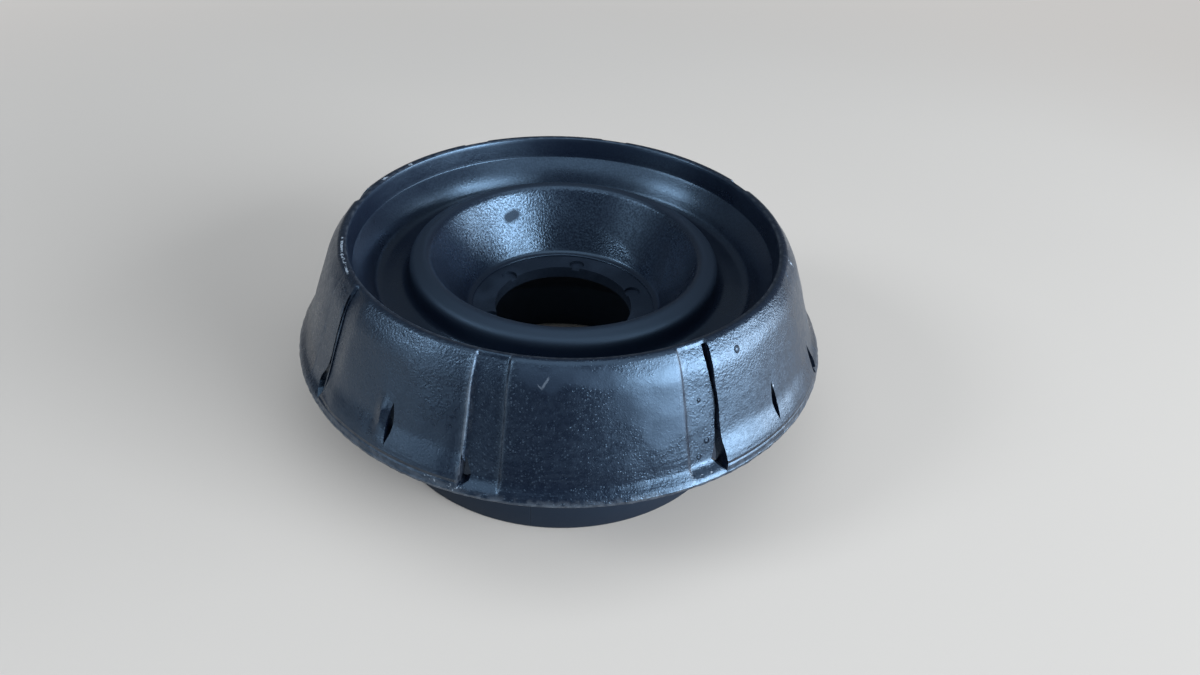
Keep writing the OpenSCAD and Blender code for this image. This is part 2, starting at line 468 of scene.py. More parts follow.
def capsule_group() -> bpy.types.NodeTree:
    """Draws one mark on a surface.

    Returns:
        Node group that is 1 on a capsule between two points and falls to 0 at its width.
    """
    tree = bpy.data.node_groups.new("capsule_mark", "ShaderNodeTree")
    for name, kind in (("Point", "Vector"), ("Start", "Vector"), ("End", "Vector"), ("Width", "Float")):
        tree.interface.new_socket(name, in_out="INPUT", socket_type=f"NodeSocket{kind}")
    tree.interface.new_socket("Share", in_out="OUTPUT", socket_type="NodeSocketFloat")
    given = tree.nodes.new("NodeGroupInput").outputs
    result = tree.nodes.new("NodeGroupOutput")
    wiring = Wiring(tree)
    to_point = wiring.vector("SUBTRACT", given["Point"], given["Start"])
    along = wiring.vector("SUBTRACT", given["End"], given["Start"])
    share = wiring.maths("DIVIDE", wiring.vector("DOT_PRODUCT", to_point, along),
                         wiring.vector("DOT_PRODUCT", along, along), True)
    nearest = wiring.vector("SCALE", along, share)
    away = wiring.vector("LENGTH", wiring.vector("SUBTRACT", to_point, nearest))
    solid, edge = 0.45, 1.0
    fall = wiring.span(wiring.maths("DIVIDE", away, given["Width"]), solid, edge, 1.0, 0.0)
    wiring.feed(result.inputs["Share"], fall)
    return tree


@dataclass(frozen=True)
class RubberFinish:
    """Black moulded rubber: grained inside, satin and speckled on the skirt, worn pale on its edges, with
    painted highlights.

    Attributes:
        name: name of the material.
        body: colour of clean rubber.
        bloom: colour of the fine specks.
        haze: colour of the smeared patches.
        rubbed: colour of scuffed rubber, also used for the painted highlights on some edges and marks.
        tint: colour of what the rubber mirrors.
        satin: least and greatest roughness of clean rubber.
        matt, smeared, scuffed: roughness of the rim and base, of smears and of rubbed marks.
        edge_wear_and_highlight_share, trace_and_highlight_share: share of rubbed colour on the edges and on
        faint lines.
        base_shine, lined_shine, smeared_shine, bald_shine: specular level of the duller places.
        glint: least and greatest specular level on the grain.
        grain_pitch: size of the moulded grain, in millimetres, as are the depths.
        marks: marks of handling and moulding.
    """

    name: str = "moulded_rubber"
    body: Colour = (0.0030, 0.0051, 0.0125, 1.0)
    bloom: Colour = (0.024, 0.037, 0.058, 1.0)
    haze: Colour = (0.0070, 0.0115, 0.0230, 1.0)
    rubbed: Colour = (0.26, 0.32, 0.40, 1.0)
    tint: Colour = (0.40, 0.66, 1.0, 1.0)
    satin: tuple[float, float] = (0.27, 0.35)
    matt: float = 0.55
    smeared: float = 0.37
    scuffed: float = 0.75
    edge_wear_and_highlight_share: float = 0.16
    trace_and_highlight_share: float = 0.20
    base_shine: float = 0.6
    lined_shine: float = 0.7
    smeared_shine: float = 0.5
    bald_shine: float = 0.2
    glint: tuple[float, float] = (0.66, 1.56)
    grain_pitch: float = 0.50
    grain_depth: float = 0.046
    ripple_depth: float = 0.08
    peel_depth: float = 0.055
    speck_depth: float = 0.03
    line_depth: float = 0.10
    worm_depth: float = 0.10
    crease_depth: float = 0.45
    point_depth: float = 0.30
    marks: tuple[Mark, ...] = ()

    def material(self) -> bpy.types.Material:
        """Builds the material."""
        return RubberBench(self).material


class RubberBench(Bench):
    """Lays out the rubber's patterns on object coordinates and on the numbers that the piece keeps."""

    def __init__(self, finish: RubberFinish) -> None:
        """Draws the patterns of a finish and feeds the shader with them."""
        super().__init__(finish.name)
        self.finish = finish
        self.wear = self.draw_marks()
        self.grain, self.skirt, self.pad, self.lines = map(self.kept, ("grain", "skirt", "pad", "lines"))
        self.smooth = self.maths("MAXIMUM", self.wear[Wear.SMEAR], self.wear[Wear.BALD])
        speck = self.times(self.specks(0.5, 0.45, 0.8), self.between(self.pad, self.skirt, 0.2))
        self.speck = self.times(speck, self.between(self.wear[Wear.SMEAR], 1.0, 0.2))
        self.pale = self.rubbed_and_highlight_marks()
        self.put("Base Color", self.colour())
        self.put("Roughness", self.roughness())
        self.put("Normal", self.relief())
        self.put("Specular IOR Level", self.shine())
        self.put("Specular Tint", finish.tint)

    def draw_marks(self) -> dict[Wear, Socket]:
        """Draws the marks of the finish.

        Returns:
            Greatest share of the marks of each kind, from 0 to 1.
        """
        capsule = capsule_group()
        ragged, loose = self.shift(0.9, 0.28), self.shift(5.0, 1.6)
        drawn_on = {Wear.SCUFF: ragged, Wear.TRACE: ragged, Wear.SMEAR: loose, Wear.DUST: loose}
        wear: dict[Wear, Socket] = {}
        for mark in self.finish.marks:
            node = self.add("Group")
            node.node_tree = capsule
            self.feed(node.inputs["Point"], drawn_on.get(mark.kind, self.point))
            self.feed(node.inputs["Start"], [v * MM for v in mark.start])
            self.feed(node.inputs["End"], [v * MM for v in mark.end])
            self.feed(node.inputs["Width"], mark.width * MM)
            share = node.outputs["Share"]
            wear[mark.kind] = self.maths("MAXIMUM", wear[mark.kind], share) if mark.kind in wear else share
        return wear

    def rubbed_and_highlight_marks(self) -> Socket:
        """Share of the scuffs, the pale specks and the faint lines; one scuff and some lines are painted
        highlights.

        Returns:
            The share, from 0 to 1.
        """
        # One scuff, at the top of an eye, is a painted highlight; so are the traces down one pad edge.
        torn_scuff_and_glint = self.times(self.wear[Wear.SCUFF], self.span(self.noise(0.7), 0.42, 0.56))
        fleck = self.times(self.wear[Wear.DUST], self.span(self.noise(0.6, 1.0), 0.62, 0.70, 0.0, 0.7))
        faint = self.times(self.wear[Wear.TRACE], self.finish.trace_and_highlight_share)
        return self.maths("MAXIMUM", self.maths("MAXIMUM", torn_scuff_and_glint, fleck), faint)

    def colour(self) -> Socket:
        """Colour: black, hazy in smears, speckled, worn on the edges and rubbed pale by marks, some edges and
        marks being painted highlights.

        Returns:
            The colour.
        """
        finish = self.finish
        film = self.times(self.speck, self.span(self.noise(6.0, 3.0), 0.42, 0.60, 0.15, 1.0))
        # Pale edges: worn rubber, and on the pad edges of the half away from the window also a painted
        # highlight.
        worn = self.times(self.kept("edge"), self.span(self.noise(1.7, 3.0), 0.40, 0.62))
        colour = self.blend(self.wear[Wear.SMEAR], finish.body, finish.haze)
        colour = self.blend(film, colour, finish.bloom)
        colour = self.blend(self.times(worn, finish.edge_wear_and_highlight_share), colour, finish.rubbed)
        return self.blend(self.pale, colour, finish.rubbed)

    def roughness(self) -> Socket:
        """Roughness: blotchy satin, matt on the bowl's rim and the base, and changed by marks.

        Returns:
            The roughness.
        """
        finish = self.finish
        satin = self.span(self.noise(16.0, 4.0), 0.34, 0.66, *finish.satin)
        fine = self.span(self.noise(1.1, 3.0), 0.35, 0.65, -0.04, 0.05)
        fine = self.times(fine, self.between(self.skirt, 0.3, 1.0))
        value = self.between(self.kept("matt"), self.maths("ADD", satin, fine), finish.matt)
        value = self.between(self.smooth, value, finish.smeared)
        return self.between(self.pale, value, finish.scuffed)

    def shine(self) -> Socket:
        """Specular level: glints of the grain, and less on the base, the lined foot and the marks.

        Returns:
            The level.
        """
        finish = self.finish
        level = self.span(self.axis("Z"), 0.0258, 0.0266, finish.base_shine, 1.0)
        level = self.times(level, self.between(self.lines, 1.0, finish.lined_shine))
        glint = self.span(self.noise(finish.grain_pitch), 0.36, 0.64, *finish.glint)
        level = self.times(level, self.between(self.grain, 1.0, glint))
        dull = self.times(self.grain, self.wear[Wear.SMEAR])
        level = self.times(level, self.between(dull, 1.0, finish.smeared_shine))
        return self.between(self.wear[Wear.BALD], level, finish.bald_shine)

    def relief(self) -> Socket:
        """Normal: ripples, moulded grain, fine orange peel, specks, mould lines, creases and pips.

        Returns:
            The normal.
        """
        finish, pitch = self.finish, self.finish.grain_pitch
        bare = self.maths("SUBTRACT", 1.0, self.smooth, True)
        leather = self.maths("ADD", self.cells(pitch), self.noise(pitch * 1.2))
        leather = self.times(leather, self.times(self.grain, bare))
        peel = self.times(self.noise(0.5), self.between(self.skirt, 0.12, 1.0))
        peel = self.times(peel, self.between(self.smooth, 1.0, 0.35))
        coarse = self.times(self.pad, self.span(self.axis("Z"), 0.042, 0.049))
        peel = self.times(peel, self.between(coarse, 1.0, 2.0))
        ripple = self.times(self.noise(4.0), self.between(self.skirt, 0.2, 1.0))
        lines = self.noise(0.9, point=self.vector("MULTIPLY", self.point, (0.12, 0.12, 1.0)))
        points = self.maths("SUBTRACT", self.wear[Wear.PIP], self.wear[Wear.PIT])
        worms = self.times(self.noise(0.8, point=self.shift(1.2, 0.4)), self.kept("wormy"))
        height = self.times(ripple, finish.ripple_depth)
        for pattern, depth in ((leather, finish.grain_depth), (peel, finish.peel_depth),
                               (self.speck, finish.speck_depth),
                               (self.times(lines, self.lines), finish.line_depth),
                               (worms, finish.worm_depth), (self.kept("crease"), finish.crease_depth),
                               (points, finish.point_depth)):
            height = self.maths("ADD", height, self.times(pattern, depth))
        return self.bump(height, 1.0)


@dataclass(frozen=True)
class SteelFinish:
    """Dark coated steel of the insert's seat.

    Attributes:
        name: name of the material.
        coat: colour of the coating.
        thin: colour where the coating is thin.
        tint: colour of what the steel mirrors.
    """

    name: str = "coated_steel"
    coat: Colour = (0.006, 0.011, 0.022, 1.0)
    thin: Colour = (0.013, 0.022, 0.040, 1.0)
    tint: Colour = (0.50, 0.72, 1.0, 1.0)

    def material(self) -> bpy.types.Material:
        """Builds the material with its blotches, fine scratches and thin coating."""
        bench = Bench(self.name)
        blotch = bench.span(bench.noise(7.0, 4.0), 0.40, 0.70)
        fine = bench.noise(0.5, 3.0)
        bench.put("Base Color", bench.blend(blotch, self.coat, self.thin))
        bench.put("Roughness", bench.span(fine, 0.3, 0.7, 0.40, 0.55))
        bench.put("Normal", bench.bump(fine, 0.03))
        bench.put("Specular Tint", self.tint)
        return bench.material


@dataclass(frozen=True)
class Slit:
    """A slit through the skirt, drawn as widths at heights.

    Attributes:
        azimuth: direction of the slit's straight side, in degrees from the front towards +X.
        side: +1 where the slit opens towards greater azimuths, -1 the other way, 0 for both.
        widths: height and width of the slit at each level, from its foot up, in millimetres.
        drift: how far the slit wanders sideways, in millimetres.
    """

    azimuth: float
    side: int
    widths: tuple[tuple[float, float], ...]
    drift: float = 0.0


LONG_SLIT = ((28.3, 0.10), (29.4, 1.6), (30.6, 2.7), (32.2, 1.9), (34.4, 1.0), (37.5, 0.50), (41.0, 0.34),
             (44.0, 0.34), (47.0, 0.50), (49.5, 0.85), (51.5, 1.15), (53.6, 1.15))
THIN_SLIT = ((28.5, 0.08), (29.6, 1.2), (30.6, 2.0), (32.2, 1.7), (34.4, 1.0), (37.5, 0.42), (41.0, 0.30),
             (45.0, 0.30), (49.0, 0.30), (52.0, 0.26))
FLAP_SLIT = ((28.6, 0.10), (29.6, 2.2), (30.8, 3.2), (32.4, 2.8), (34.4, 1.7), (36.5, 0.8), (39.0, 0.40),
             (44.0, 0.34), (49.0, 0.34), (52.6, 0.30))
FOOT_FLAP = FLAP_SLIT[:6] + ((38.2, 0.08),)
FOOT_POCKET = ((28.9, 0.6), (29.6, 1.9), (30.8, 2.0), (32.6, 1.3), (34.4, 0.5), (35.4, 0.06))
EYE_SLIT = ((31.6, 0.06), (32.8, 0.85), (34.1, 1.45), (35.9, 1.70), (37.6, 1.25), (39.0, 0.62), (40.0, 0.06))


@dataclass
class RubberMoulding:
    """The one-piece rubber body: skirt with pads and slits, rim, trough, bowl and base.

    Sizes are in millimetres and degrees. Waves are given by their depth and length, and flash by its azimuth,
    length and height.
    """

    height: float = 54.4
    lip_z: float = 27.0
    lip_t: float = 1.0
    lip_r: float = 64.6
    flare_z: float = 30.4
    skirt_top_r: float = 53.4
    crest_r: float = 52.2
    shoulder_r: float = 55.15
    shoulder_z: float = 50.6
    waist_r: float = 58.1
    waist_z: float = 42.5
    panel_foot_r: float = 62.3
    skirt_wall: float = 2.6
    hollow_top_z: float = 39.0
    rim_r: float = 50.5
    base_r: float = 45.8
    recess_r: float = 36.0
    recess_h: float = 14.0
    bare_r: float = 25.0
    seat_z: float = 32.4
    seat_r: float = 24.0
    insert_t: float = 3.0
    insert_top_z: float = 42.5
    lining: float = 2.5
    bowl_r: float = 32.5
    bowl_z: float = 49.2
    bowl_rim_w: float = 4.3
    bowl_rim_fall: float = 1.6
    toe_w: float = 1.3
    toe_h: float = 0.35
    trough_inner_r: float = 37.7
    trough_r: float = 45.0
    trough_depth: float = 12.6
    band_mid_r: float = 46.7
    band_mid_depth: float = 9.0
    band_r: float = 49.8
    band_depth: float = 5.4
    channel_depth: float = 0.7
    pad_rise: float = 0.5
    panel_half: float = 18.3
    pad_edge: float = 25.7
    edge_turn: float = 0.36
    soft_turn: float = 1.1
    insert_room: float = 0.03
    flap_sink: float = 0.75
    right_flap_share: float = 0.2
    pad_flare: float = 0.85
    seam_rise: float = 0.38
    pinch_rise: float = 0.95
    pinch_azimuth: float = -44.2
    pinch_z: float = 36.4
    lip_trim: float = 0.22
    long_waves: tuple[float, float] = (0.42, 17.0)
    short_waves: tuple[float, float] = (0.14, 5.0)
    lip_waves: tuple[float, float] = (0.38, 2.2)
    trough_waves: tuple[float, float] = (0.16, 7.0)
    cutter_depth: float = 5.2
    flash_r: float = 64.0
    flash_z: float = 27.95
    flash: tuple[tuple[float, float, float], ...] = (
        (-1.6, 2.6, 0.7), (9.8, 1.1, 0.5), (-33.0, 1.5, 0.45), (34.5, 1.8, 0.5), (-118.0, 1.9, 0.5),
        (150.0, 2.2, 0.6), (101.0, 1.3, 0.5))
    finish: RubberFinish = field(default_factory=RubberFinish)
    slits: tuple[Slit, ...] = (
        Slit(-64.3, -1, FLAP_SLIT, 0.15), Slit(-25.7, 1, FOOT_POCKET), Slit(25.7, -1, LONG_SLIT, 0.22),
        Slit(64.3, -1, FOOT_FLAP, 0.15), Slit(115.7, -1, THIN_SLIT, 0.2), Slit(154.3, 1, LONG_SLIT, 0.15),
        Slit(-154.3, -1, THIN_SLIT, 0.2), Slit(-115.7, 1, LONG_SLIT, 0.15),
        *(Slit(azimuth, 0, EYE_SLIT) for azimuth in (-42.0, 42.0, 138.0, -138.0)))

    def slope_r(self, z: float) -> float:
        """Radius of a panel's slope at a height."""
        share = (z - self.flare_z) / (self.height - self.flare_z)
        return self.panel_foot_r + (self.skirt_top_r - self.panel_foot_r) * share

    def bowl_wall_r(self, z: float) -> float:
        """Radius of the bowl's wall at a height."""
        return self.seat_r + (z - self.seat_z) * (self.bowl_r - self.seat_r) / (self.bowl_z - self.seat_z)

    def section(self) -> list[Corner]:
        """Corners of the section, with the panels as its outside.

        Returns:
            The corners, from the rim outwards and round under the base to the bowl and the trough.
        """
        slope = (self.bowl_r - self.seat_r) / (self.bowl_z - self.seat_z)
        steel = self.lining + self.insert_t * math.sqrt(1 + slope ** 2)
        under, room = self.seat_z - self.insert_t, self.insert_room
        top_r, steel_top = self.bowl_wall_r(self.insert_top_z), self.insert_top_z + room
        toe_r, trough_z = self.seat_r - self.toe_w, self.height - self.trough_depth
        return [
            Corner(self.rim_r, self.height, 0.6, 3, 0.7),
            Corner(self.crest_r, self.height, 1.6, 5, 0.8),
            Corner(self.shoulder_r, self.shoulder_z, 14.0, 7, 0.85),
            Corner(self.waist_r, self.waist_z, 40.0, 3, 0.85),
            Corner(self.panel_foot_r, self.flare_z, 4.0, 5, 0.7),
            Corner(self.lip_r, self.lip_z + self.lip_t, 0.4, 3, 0.4),
            Corner(self.lip_r, self.lip_z, 0.4, 3, 1.8),
            Corner(self.slope_r(self.lip_z) - self.skirt_wall, self.lip_z, 0.3, 2, 2.5),
            Corner(self.slope_r(self.hollow_top_z) - self.skirt_wall, self.hollow_top_z, 2.5, 4, 3.0),
            Corner(self.base_r, self.hollow_top_z, 2.5, 4, 4.0),
            Corner(self.base_r, 0.0, 0.8, 3, 3.3),
            Corner(self.recess_r, 0.0, 0.8, 3, 4.0),
            Corner(self.recess_r, self.recess_h, 1.5, 3, 5.0),
            Corner(self.bare_r, under - room, pitch=6.0),
            Corner(self.bowl_wall_r(under) + steel + room, under - room, pitch=9.0),
            Corner(top_r + steel + room, steel_top, pitch=6.0),
            Corner(top_r + self.lining - room, steel_top, pitch=9.0),
            Corner(self.bowl_wall_r(self.seat_z) + self.lining - room, self.seat_z + room, pitch=6.0),
            Corner(toe_r, self.seat_z + room, pitch=1.0),
            Corner(toe_r, self.seat_z + self.toe_h, 0.15, 2, 0.5),
            Corner(self.seat_r, self.seat_z + 2 * self.toe_h, 1.3, 4, 1.1),
            Corner(self.bowl_r, self.bowl_z, 2.0, 6, 0.8),
            Corner(self.bowl_r + self.bowl_rim_w, self.bowl_z - self.bowl_rim_fall, 2.0, 6, 1.2),
            Corner(self.trough_inner_r, trough_z, 2.0, 4, 1.4),
            Corner(self.trough_r, trough_z, 3.4, 6, 0.9),
            Corner(self.band_mid_r, self.height - self.band_mid_depth, 24.0, 4, 0.8),
            Corner(self.band_r, self.height - self.band_depth, 0.25, 2, 0.9)]

    def sectors(self) -> list[tuple[float, int]]:
        """Angles and steps of a quarter turn from the middle of a panel to the middle of the next."""
        turn, soft = self.edge_turn, self.soft_turn
        panel = (self.panel_half - soft / 2, 20)
        bend = (soft, 4)
        channel = (self.pad_edge - self.panel_half - (turn + soft) / 2, 7)
        step = (turn, 3)
        pad = (90 - 2 * self.pad_edge - turn, 44)
        return [panel, bend, channel, step, pad, step, channel, bend, panel]

    def build(self) -> Piece:
        """Models the moulding.

        Returns:
            The finished and dressed piece.
        """
        piece = turned_quarter("rubber_moulding", rounded_section(self.section()), self.sectors())
        self.shape_skirt(piece)
        self.cut_slits(piece)
        self.add_flash(piece)
        self.note_regions(piece)
        take_up(piece)
        bpy.ops.object.shade_smooth_by_angle(angle=math.radians(40))
        piece.data.materials.clear()
        piece.data.materials.append(self.finish.material())
        return piece

    def regions(self, piece: Piece) -> dict[str, np.ndarray]:
        """Where each vertex lies.

        Args:
            piece: the moulding.

        Returns:
            For each vertex its radius, height, azimuth, distance in degrees from the nearest panel's middle,
            how far it faces outwards and whether it is on the skirt's outside.
        """
        spot, facing = vectors(piece.data.vertices, "co") / MM, vectors(piece.data.vertex_normals, "vector")
        r = np.hypot(spot[:, 0], spot[:, 1])
        azimuth = np.degrees(np.arctan2(spot[:, 0], -spot[:, 1]))
        outward = (facing[:, 0] * spot[:, 0] + facing[:, 1] * spot[:, 1]) / np.maximum(r, 1e-6)
        off = np.abs((azimuth + 45.0) % 90.0 - 45.0)
        crest = self.rim_r + 0.6
        outside = ((r > crest) & (spot[:, 2] > self.lip_z + self.lip_t - 0.2)
                   & ((outward > 0.1) | (facing[:, 2] > 0.3))).astype(float)
        return {"r": r, "z": spot[:, 2], "azimuth": azimuth, "off": off, "outward": outward,
                "outside": outside}

    def shape_skirt(self, piece: Piece) -> None:
        """Sinks the channels, raises the pads and gives the skirt its unevenness."""
        at = self.regions(piece)
        r, z, azimuth, off, outside = (at[name] for name in ("r", "z", "azimuth", "off", "outside"))
        half, soft = self.edge_turn / 2, self.soft_turn / 2
        foot = outside * ease(self.lip_z + self.lip_t + 0.1, self.flare_z + 0.6, z)
        brow = ease(self.rim_r + 0.7, self.skirt_top_r - 0.9, r)
        trench = (ease(self.panel_half - soft, self.panel_half + soft, off)
                  * ease(self.pad_edge + half, self.pad_edge - half, off))
        on_pad = ease(self.pad_edge - half, self.pad_edge + half, off)
        turned, flap_edge = np.abs(azimuth), 90.0 - self.pad_edge
        trench *= 1 - 0.9 * ease(flap_edge + 9.5, flap_edge + 8.5, turned) * (turned > flap_edge - 1)
        sunk = ease(flap_edge + half, flap_edge - half, turned)
        sunk = sunk * ease(flap_edge - 7.0, flap_edge - 0.6, turned)
        sunk *= np.where(azimuth < 0, 1.0, self.right_flap_share)
        rise = np.clip((self.height - z) / (self.height - self.flare_z), 0.0, 1.0)
        flare = outside * on_pad * ease(36.0, self.flare_z, z) * ease(28.2, 29.8, z)
        seam_w = 0.26 + 0.24 * ease(45.0, 53.0, z)
        seam = np.exp(-((azimuth + self.pad_edge + 0.1) / seam_w) ** 2) * ease(28.3, 30.0, z)
        lip = ease(self.lip_r - 0.7, self.lip_r - 0.1, r)
        across = (azimuth - self.pinch_azimuth) * math.pi / 180 * r
        pinch = np.exp(-(across / 1.15) ** 2) * np.exp(-((z - self.pinch_z) / 3.0) ** 2)
        below_crest = ease(self.height - 0.1, self.height - 1.6, z)
        trough = ease(37.4, 38.5, r) * (1 - outside) * ease(40.5, 41.5, z) * ease(46.0, 45.0, r)
        face = foot * brow
        for where, depth, waves in (
                (face * trench, -self.channel_depth, 0.0), (foot * on_pad * rise, self.pad_rise, 0.0),
                (face * sunk, -self.flap_sink, 0.0), (flare, self.pad_flare, 0.0),
                (face * seam * below_crest, self.seam_rise, 0.0), (foot * pinch, self.pinch_rise, 0.0),
                (face * below_crest, *self.long_waves), (face * below_crest, *self.short_waves),
                (lip, -self.lip_trim, 0.0), (lip, *self.lip_waves), (trough, *self.trough_waves)):
            displace(piece, where, depth, waves)

    def cut_slits(self, piece: Piece) -> None:
        """Cuts the slits beside the pads and the eyes in their faces."""
        cutters = [self.slit_cutter(slit, number) for number, slit in enumerate(self.slits)]
        take_up(*cutters)
        bpy.ops.object.join()
        modifier = piece.modifiers.new("slits", "BOOLEAN")
        modifier.operation, modifier.solver, modifier.object = "DIFFERENCE", "EXACT", cutters[0]
        take_up(piece)
        bpy.ops.object.modifier_apply(modifier=modifier.name)
        bpy.data.objects.remove(cutters[0], do_unlink=True)

    def slit_cutter(self, slit: Slit, number: int) -> Piece:
        """A bar as wide as a slit at each height, standing through the skirt's wall.

        Args:
            slit: the slit.
            number: number of the slit, which sets how it wanders.

        Returns:
            The bar, to be taken out of the moulding.
        """
        deep, turn = self.cutter_depth, math.radians(slit.azimuth)
        out = Vector((math.sin(turn), -math.cos(turn), 0.0))
        side = Vector((math.cos(turn), math.sin(turn), 0.0))
        bpy.ops.mesh.primitive_plane_add(size=1.0, location=(0, 0, 0))
        cutter = bpy.context.object
        cutter.name = f"slit_cutter_{number}"
        levels = []
        for z, width in slit.widths:
            sway = slit.drift * math.sin(z * 0.55 + number * 1.7)
            middle = (slit.side * (width / 2 - 0.1) + sway) if slit.side else 0.0
            reach = self.slope_r(z) + 2.0 - deep / 2
            levels.append((out * reach + side * middle + Vector((0, 0, z)), width))
        frame_of = Matrix((side, out, Vector((0, 0, 1)))).transposed().to_4x4()
        with editing(cutter):
            select_whole()
            bpy.ops.transform.resize(value=(levels[0][1] * MM, deep * MM, 1.0))
        settle(cutter, frame_of)
        with editing(cutter):
            select_whole()
            bpy.ops.transform.translate(value=levels[0][0] * MM)
            for (here, width), (there, wider) in zip(levels, levels[1:]):
                bpy.ops.mesh.extrude_region_move(TRANSFORM_OT_translate={"value": (there - here) * MM})
                bpy.ops.transform.resize(value=(wider / width, 1.0, 1.0), orient_matrix=frame_of.to_3x3(),
                                         orient_type="GLOBAL", orient_matrix_type="GLOBAL",
                                         center_override=there * MM)
            select_whole()
            bpy.ops.mesh.normals_make_consistent(inside=False)
        return cutter

    def add_flash(self, piece: Piece) -> None:
        """Joins the small bits of flash on the lip to the moulding."""
        bits = []
        for azimuth, length, tall in self.flash:
            turn = math.radians(azimuth)
            bpy.ops.mesh.primitive_ico_sphere_add(subdivisions=3, radius=0.5 * MM, location=(0, 0, 0))
            bit = bpy.context.object
            with editing(bit):
                select_whole()
                bpy.ops.transform.resize(value=(length, 0.75, tall))
            displace(bit, np.ones(len(bit.data.vertices)), 0.35, 0.8)
            place = Vector((math.sin(turn) * self.flash_r, -math.cos(turn) * self.flash_r, self.flash_z))
            settle(bit, Matrix.Translation(place * MM) @ Matrix.Rotation(turn, 4, "Z"))
            bits.append(bit)
        take_up(piece, *bits)
        bpy.ops.object.join()

    def note_regions(self, piece: Piece) -> None:
        """Keeps on the mesh where it is grained, satin, matt, worn, lined and creased, and where pad edges
        carry painted highlight.
        """
        at = self.regions(piece)
        r, z, off, outside = at["r"], at["z"], at["off"], at["outside"]
        inner = (1 - outside) * (z > self.seat_z + 0.4)
        wall = ease(33.6, 32.2, r) * ease(48.9, 47.6, z) * ease(33.0, 34.2, z)
        bowl = inner * (at["outward"] < 0.15) * wall
        trough = inner * ease(37.2, 38.6, r) * ease(40.9, 41.9, z) * ease(self.rim_r, self.rim_r - 0.5, r)
        floor = ease(42.6, 41.9, z) * trough
        on_pad = ease(self.pad_edge - 0.2, self.pad_edge + 0.2, off)
        on_panel = ease(self.panel_half + 0.2, self.panel_half - 0.2, off)
        # The pad-edge lines stay full only on the half away from the window, where they also paint a
        # highlight.
        pad_line_wear_and_highlight = np.exp(-((off - self.pad_edge) / 0.22) ** 2) * ease(28.2, 29.5, z)
        pad_line_wear_and_highlight *= np.where(at["azimuth"] > 0, 0.25, 1.0)
        panel_line = np.exp(-((off - self.panel_half) / 0.20) ** 2) * ease(28.2, 29.5, z)
        crest = np.exp(-((r - self.rim_r - 0.25) / 0.30) ** 2) * ease(54.0, 54.3, z)
        lip = ease(self.lip_r - 0.8, self.lip_r - 0.3, r)
        rim = ease(32.4, 33.2, r) * ease(38.2, 37.2, r) * ease(45.0, 46.5, z)
        trench = ease(self.panel_half, self.panel_half + 0.5, off)
        trench = trench * ease(self.pad_edge, self.pad_edge - 0.4, off)
        # Pale edges: wear on the crest and lip, and wear with painted highlight on the pad edges.
        edges = outside * (pad_line_wear_and_highlight + 0.7 * panel_line) + 0.7 * crest + 0.8 * lip
        lined = (on_panel + 0.4 * on_pad) * ease(36.0, 33.0, z) * ease(27.8, 28.6, z)
        kept = {
            "grain": np.clip(bowl + 0.3 * trough - 0.2 * floor, 0, 1),
            "wormy": outside * trench * ease(44.0, 50.0, z),
            "skirt": outside,
            "pad": outside * on_pad,
            "matt": np.clip(rim + (np.abs(r - self.base_r) < 10.5) * (z < self.lip_z), 0, 1),
            "edge": np.clip(edges, 0, 1),
            "lines": outside * lined,
            "crease": -outside * on_pad * np.exp(-((z - 29.7) / 0.30) ** 2),
        }
        for name, values in kept.items():
            layer = piece.data.attributes.new(name, "FLOAT", "POINT")
            layer.data.foreach_set("value", values.astype(np.float32))


@dataclass
class SteelInsert:
    """The dished steel pressing, whose solid stays as it is and gets its finish."""

    node: str = "inner_insert"
    finish: SteelFinish = field(default_factory=SteelFinish)

    def dress(self) -> Piece:
        """Gives the steel its finish and returns its object."""
        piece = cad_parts[self.node]
        piece.data.materials.clear()
        piece.data.materials.append(self.finish.material())
        return piece


@dataclass(frozen=True)
class SoftLight:
    """A large soft lamp that looks at the mount.

    Attributes:
        name: name of the lamp.
        towards: direction from the mount to the lamp.
        away: distance of the lamp, in metres.
        size: width and height of the lamp, in metres.
        power: power of the lamp, in watts.
        colour: colour of its light.
    """

    name: str
    towards: Point
    away: float
    size: tuple[float, float]
    power: float
    colour: tuple[float, float, float] = (0.95, 0.98, 1.0)

    def place(self) -> None:
        """Adds the lamp."""
        direction = Vector(self.towards).normalized()
        bpy.ops.object.light_add(type="AREA", location=direction * self.away + Vector((0, 0, 40 * MM)))
        lamp = bpy.context.object
        lamp.name = self.name
        lamp.rotation_euler = direction.to_track_quat("Z", "Y").to_euler()
        lamp.data.shape = "RECTANGLE"
        lamp.data.size, lamp.data.size_y = self.size
        lamp.data.energy = self.power
        lamp.data.color = self.colour


